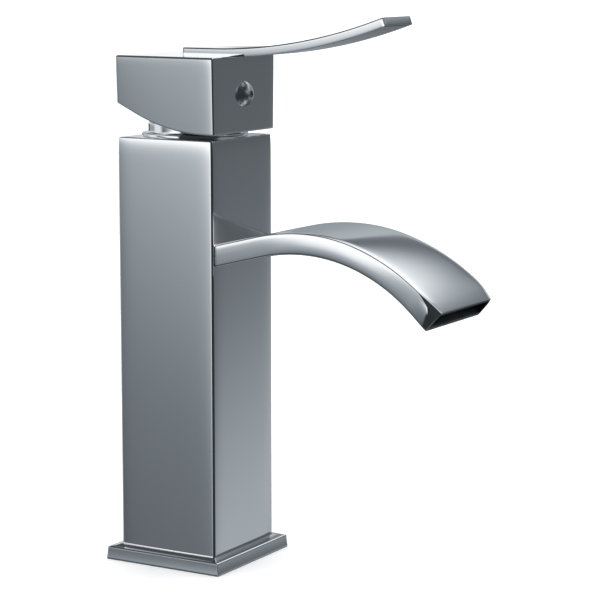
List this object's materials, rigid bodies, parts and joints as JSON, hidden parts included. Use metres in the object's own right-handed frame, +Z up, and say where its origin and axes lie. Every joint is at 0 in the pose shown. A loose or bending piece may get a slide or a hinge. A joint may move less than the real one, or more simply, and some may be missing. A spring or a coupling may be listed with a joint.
{
  "type": "basin faucet",
  "caption": "Single-lever basin faucet with a square column, a flat arched hollow spout and a flat lever on a square handle block.",
  "frame": {"origin": "on the column's axis at the deck face, the underside of the foot plate", "axes": "+Z up along the column, +X the way the spout and the lever point, +Y to the left of a person behind the spout looking along +X"},
  "size_m": [0.149, 0.054, 0.2205],
  "materials": {
    "chrome": "polished",
    "brass": "machined",
    "steel": "satin",
    "rubber": "matte",
    "plastic_white": "moulded",
    "plastic_grey": "moulded",
    "plastic_red": "moulded",
    "ceramic": "lapped"
  },
  "bodies": {
    "body": {"column_body": "chrome", "base_plate": "chrome", "base_gasket": "rubber", "spout": "chrome", "flow_straightener": "plastic_grey", "trim_ring": "chrome", "trim_ring_seal": "rubber", "cartridge_locknut": "brass", "cartridge_housing": "plastic_white", "cartridge_base": "plastic_white", "port_seals": "rubber", "fixed_disc": "ceramic", "glide_ring": "plastic_white"},
    "rotor": {"cartridge_rotor": "plastic_grey", "hot_limit_ring": "plastic_red", "pivot_pin": "steel"},
    "disc": {"moving_disc": "ceramic", "disc_carrier": "plastic_grey"},
    "handle": {"spindle": "brass", "handle_block": "chrome", "lever_blade": "chrome", "lever_screws": "steel", "handle_screw": "chrome"}
  },
  "joints": [
    {"name": "temperature_turn", "type": "hinge", "parent": "body", "child": "rotor", "pos_m": [0, 0, 0.168], "axis": [0, 0, 1], "range_deg": [-50, 50]},
    {"name": "lever_lift", "type": "hinge", "parent": "rotor", "child": "handle", "pos_m": [0, 0, 0.168], "axis": [0, -1, 0], "range_deg": [0, 24]},
    {"name": "disc_slide", "type": "slide", "parent": "rotor", "child": "disc", "axis": [1, 0, 0], "range_m": [0, 0.0051]}
  ],
  "couplings": [
    {"joint": "disc_slide", "follows": "lever_lift", "m_per_rad": 0.011912}
  ]
}
